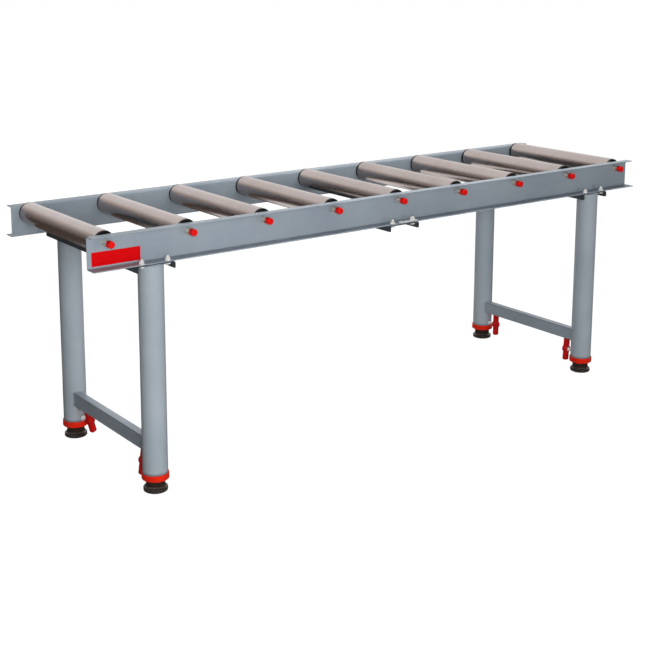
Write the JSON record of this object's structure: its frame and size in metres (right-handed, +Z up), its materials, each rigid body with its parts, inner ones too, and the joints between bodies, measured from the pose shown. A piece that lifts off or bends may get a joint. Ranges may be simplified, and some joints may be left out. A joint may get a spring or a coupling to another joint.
{
  "type": "roller table",
  "caption": "Free-standing steel roller table: free-turning rollers between two side rails on round legs with clamped, height-adjustable feet.",
  "frame": {"origin": "on the floor under the middle of the table, midway along the rails and midway between them", "axes": "+X along the rails to the picture's right end, +Y across the table to its far side, +Z up"},
  "size_m": [2, 0.5448, 0.7095],
  "materials": {
    "grey_paint": "satin",
    "dark_grey_paint": "satin",
    "zinc": "satin",
    "bright_steel": "satin",
    "spring_steel": "satin",
    "roller_steel": "satin",
    "red_cap": "gloss",
    "red_plastic": "gloss",
    "orange_red_plastic": "gloss",
    "black_plastic": "matte",
    "black_brown_enamel": "gloss",
    "red_plate": "satin"
  },
  "bodies": {
    "frame": {"rail_near": "grey_paint", "rail_far": "grey_paint", "crossbar_left": "dark_grey_paint", "crossbar_middle": "dark_grey_paint", "crossbar_right": "dark_grey_paint", "leg_near_left": "grey_paint", "leg_near_right": "grey_paint", "leg_far_left": "grey_paint", "leg_far_right": "grey_paint", "brace_left": "grey_paint", "brace_right": "grey_paint", "frame_bolts": "zinc", "frame_washers": "zinc", "frame_nuts": "zinc", "axles": "bright_steel", "axle_washers": "zinc", "axle_nuts": "zinc", "axle_caps": "red_cap", "bearings": "bright_steel", "circlips": "spring_steel", "collars": "orange_red_plastic", "leg_guides": "black_plastic", "clamp_bosses": "zinc", "coupling_strap": "zinc", "label_plate": "red_plate"},
    "roller_1": {"roller_tube_1": "roller_steel", "roller_ends_1": "black_plastic"},
    "roller_2": {"roller_tube_2": "roller_steel", "roller_ends_2": "black_plastic"},
    "roller_3": {"roller_tube_3": "roller_steel", "roller_ends_3": "black_plastic"},
    "roller_4": {"roller_tube_4": "roller_steel", "roller_ends_4": "black_plastic"},
    "roller_5": {"roller_tube_5": "roller_steel", "roller_ends_5": "black_plastic"},
    "roller_6": {"roller_tube_6": "roller_steel", "roller_ends_6": "black_plastic"},
    "roller_7": {"roller_tube_7": "roller_steel", "roller_ends_7": "black_plastic"},
    "roller_8": {"roller_tube_8": "roller_steel", "roller_ends_8": "black_plastic"},
    "roller_9": {"roller_tube_9": "roller_steel", "roller_ends_9": "black_plastic"},
    "foot_near_left": {"inner_tube_near_left": "black_brown_enamel", "foot_near_left": "black_plastic"},
    "foot_near_right": {"inner_tube_near_right": "black_brown_enamel", "foot_near_right": "black_plastic"},
    "foot_far_left": {"inner_tube_far_left": "black_brown_enamel", "foot_far_left": "black_plastic"},
    "foot_far_right": {"inner_tube_far_right": "black_brown_enamel", "foot_far_right": "black_plastic"},
    "clamp_screw_near_left": {"clamp_screw_near_left": "zinc"},
    "clamp_handle_near_left": {"clamp_handle_near_left": "red_plastic"},
    "clamp_screw_near_right": {"clamp_screw_near_right": "zinc"},
    "clamp_handle_near_right": {"clamp_handle_near_right": "red_plastic"},
    "clamp_screw_far_left": {"clamp_screw_far_left": "zinc"},
    "clamp_handle_far_left": {"clamp_handle_far_left": "red_plastic"},
    "clamp_screw_far_right": {"clamp_screw_far_right": "zinc"},
    "clamp_handle_far_right": {"clamp_handle_far_right": "red_plastic"}
  },
  "joints": [
    {"name": "roller_1_spin", "type": "hinge", "parent": "frame", "child": "roller_1", "pos_m": [-0.949, 0, 0.6795], "axis": [0, 1, 0], "continuous": true},
    {"name": "roller_2_spin", "type": "hinge", "parent": "frame", "child": "roller_2", "pos_m": [-0.713, 0, 0.6795], "axis": [0, 1, 0], "continuous": true},
    {"name": "roller_3_spin", "type": "hinge", "parent": "frame", "child": "roller_3", "pos_m": [-0.477, 0, 0.6795], "axis": [0, 1, 0], "continuous": true},
    {"name": "roller_4_spin", "type": "hinge", "parent": "frame", "child": "roller_4", "pos_m": [-0.241, 0, 0.6795], "axis": [0, 1, 0], "continuous": true},
    {"name": "roller_5_spin", "type": "hinge", "parent": "frame", "child": "roller_5", "pos_m": [-0.005, 0, 0.6795], "axis": [0, 1, 0], "continuous": true},
    {"name": "roller_6_spin", "type": "hinge", "parent": "frame", "child": "roller_6", "pos_m": [0.231, 0, 0.6795], "axis": [0, 1, 0], "continuous": true},
    {"name": "roller_7_spin", "type": "hinge", "parent": "frame", "child": "roller_7", "pos_m": [0.467, 0, 0.6795], "axis": [0, 1, 0], "continuous": true},
    {"name": "roller_8_spin", "type": "hinge", "parent": "frame", "child": "roller_8", "pos_m": [0.703, 0, 0.6795], "axis": [0, 1, 0], "continuous": true},
    {"name": "roller_9_spin", "type": "hinge", "parent": "frame", "child": "roller_9", "pos_m": [0.939, 0, 0.6795], "axis": [0, 1, 0], "continuous": true},
    {"name": "foot_near_left_slide", "type": "slide", "parent": "frame", "child": "foot_near_left", "axis": [0, 0, -1], "range_m": [-0.015, 0.32]},
    {"name": "foot_near_right_slide", "type": "slide", "parent": "frame", "child": "foot_near_right", "axis": [0, 0, -1], "range_m": [-0.015, 0.32]},
    {"name": "foot_far_left_slide", "type": "slide", "parent": "frame", "child": "foot_far_left", "axis": [0, 0, -1], "range_m": [-0.015, 0.32]},
    {"name": "foot_far_right_slide", "type": "slide", "parent": "frame", "child": "foot_far_right", "axis": [0, 0, -1], "range_m": [-0.015, 0.32]},
    {"name": "clamp_near_left_travel", "type": "slide", "parent": "frame", "child": "clamp_screw_near_left", "axis": [0, 1, 0], "range_m": [0, 0.003]},
    {"name": "clamp_near_left_turn", "type": "hinge", "parent": "clamp_screw_near_left", "child": "clamp_handle_near_left", "pos_m": [-0.827, -0.172, 0.06], "axis": [0, 1, 0], "range_deg": [0, 720]},
    {"name": "clamp_near_right_travel", "type": "slide", "parent": "frame", "child": "clamp_screw_near_right", "axis": [0, 1, 0], "range_m": [0, 0.003]},
    {"name": "clamp_near_right_turn", "type": "hinge", "parent": "clamp_screw_near_right", "child": "clamp_handle_near_right", "pos_m": [0.808, -0.172, 0.06], "axis": [0, 1, 0], "range_deg": [0, 720]},
    {"name": "clamp_far_left_travel", "type": "slide", "parent": "frame", "child": "clamp_screw_far_left", "axis": [0.2588, -0.9659, 0], "range_m": [0, 0.003]},
    {"name": "clamp_far_left_turn", "type": "hinge", "parent": "clamp_screw_far_left", "child": "clamp_handle_far_left", "pos_m": [-0.81044, 0.17418, 0.06], "axis": [0.2588, -0.9659, 0], "range_deg": [0, 720]},
    {"name": "clamp_far_right_travel", "type": "slide", "parent": "frame", "child": "clamp_screw_far_right", "axis": [0.1045, -0.9945, 0], "range_m": [0, 0.003]},
    {"name": "clamp_far_right_turn", "type": "hinge", "parent": "clamp_screw_far_right", "child": "clamp_handle_far_right", "pos_m": [0.81469, 0.17235, 0.06], "axis": [0.1045, -0.9945, 0], "range_deg": [0, 720]}
  ],
  "couplings": [
    {"joint": "clamp_near_left_travel", "follows": "clamp_near_left_turn", "m_per_rad": 0.0002387},
    {"joint": "clamp_near_right_travel", "follows": "clamp_near_right_turn", "m_per_rad": 0.0002387},
    {"joint": "clamp_far_left_travel", "follows": "clamp_far_left_turn", "m_per_rad": 0.0002387},
    {"joint": "clamp_far_right_travel", "follows": "clamp_far_right_turn", "m_per_rad": 0.0002387}
  ]
}
